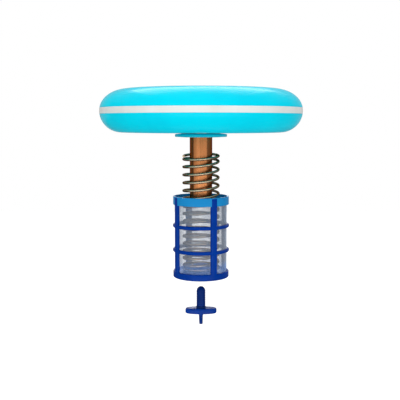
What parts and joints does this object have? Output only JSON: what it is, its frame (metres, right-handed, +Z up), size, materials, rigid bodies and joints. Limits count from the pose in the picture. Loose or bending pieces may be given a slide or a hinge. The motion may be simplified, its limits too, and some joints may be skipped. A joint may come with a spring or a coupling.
{
  "type": "floating pool ionizer",
  "caption": "Round solar float with a white band, a copper anode rod below it, a coil spring cathode, a blue mesh basket on a slide and a thumb screw drawn off below.",
  "frame": {"origin": "centre of the float on the middle plane of its white band, which is about the waterline", "axes": "+Z up along the axis of the anode, the basket and the screw; the picture looks along +Y, with X to its right"},
  "size_m": [0.255, 0.255, 0.3032],
  "materials": {
    "shell_cyan": "glossy moulded cyan plastic",
    "band_white": "glossy off-white plastic",
    "seal_rubber": "black rubber seal",
    "window_clear": "clear window over the solar cells",
    "cell_silicon": "dark blue silicon cells",
    "ribbon_tin": "tinned ribbon",
    "board_dark": "dark laminate board",
    "bead_silicone": "white silicone bead",
    "diode_black": "black moulded diode",
    "lead_red": "red soft insulation",
    "lead_black": "black soft insulation",
    "lug_tin": "tinned ring terminal",
    "stainless": "bright stainless steel",
    "copper": "drawn copper bar with fine lengthwise streaks",
    "basket_blue": "glossy dark blue plastic",
    "mesh_nylon": "fine translucent white nylon mesh"
  },
  "bodies": {
    "float": {"upper_shell": "shell_cyan", "lower_shell": "shell_cyan", "trim_band": "band_white", "shell_seal": "seal_rubber", "panel_window": "window_clear", "solar_cells": "cell_silicon", "cell_ribbons": "ribbon_tin", "panel_board": "board_dark", "panel_bead": "bead_silicone", "blocking_diode": "diode_black", "positive_lead": "lead_red", "negative_lead": "lead_black", "positive_lug": "lug_tin", "negative_lug": "lug_tin", "anode_stud": "stainless", "stud_nut": "stainless", "stud_washer": "stainless", "stud_seal": "seal_rubber", "seat_flange": "shell_cyan", "contact_ring": "stainless", "contact_nut": "stainless", "contact_seal": "seal_rubber", "copper_anode": "copper"},
    "basket": {"basket_cage": "basket_blue", "mesh_sleeve": "mesh_nylon", "coil_cathode": "stainless"},
    "screw_carrier": {"screw_ring": "seal_rubber"},
    "screw": {"thumb_screw": "basket_blue"}
  },
  "joints": [
    {"name": "basket_slide", "type": "slide", "parent": "float", "child": "basket", "axis": [0, 0, 1], "range_m": [0, 0.0784], "deforming": ["coil_cathode"]},
    {"name": "screw_travel", "type": "slide", "parent": "basket", "child": "screw_carrier", "axis": [0, 0, 1], "range_m": [0, 0.0449]},
    {"name": "screw_turn", "type": "hinge", "parent": "screw_carrier", "child": "screw", "pos_m": [0, 0, -0.2539], "axis": [0, 0, 1], "range_deg": [0, 5376]}
  ],
  "couplings": [
    {"joint": "screw_travel", "follows": "screw_turn", "m_per_rad": 0.00047746}
  ]
}
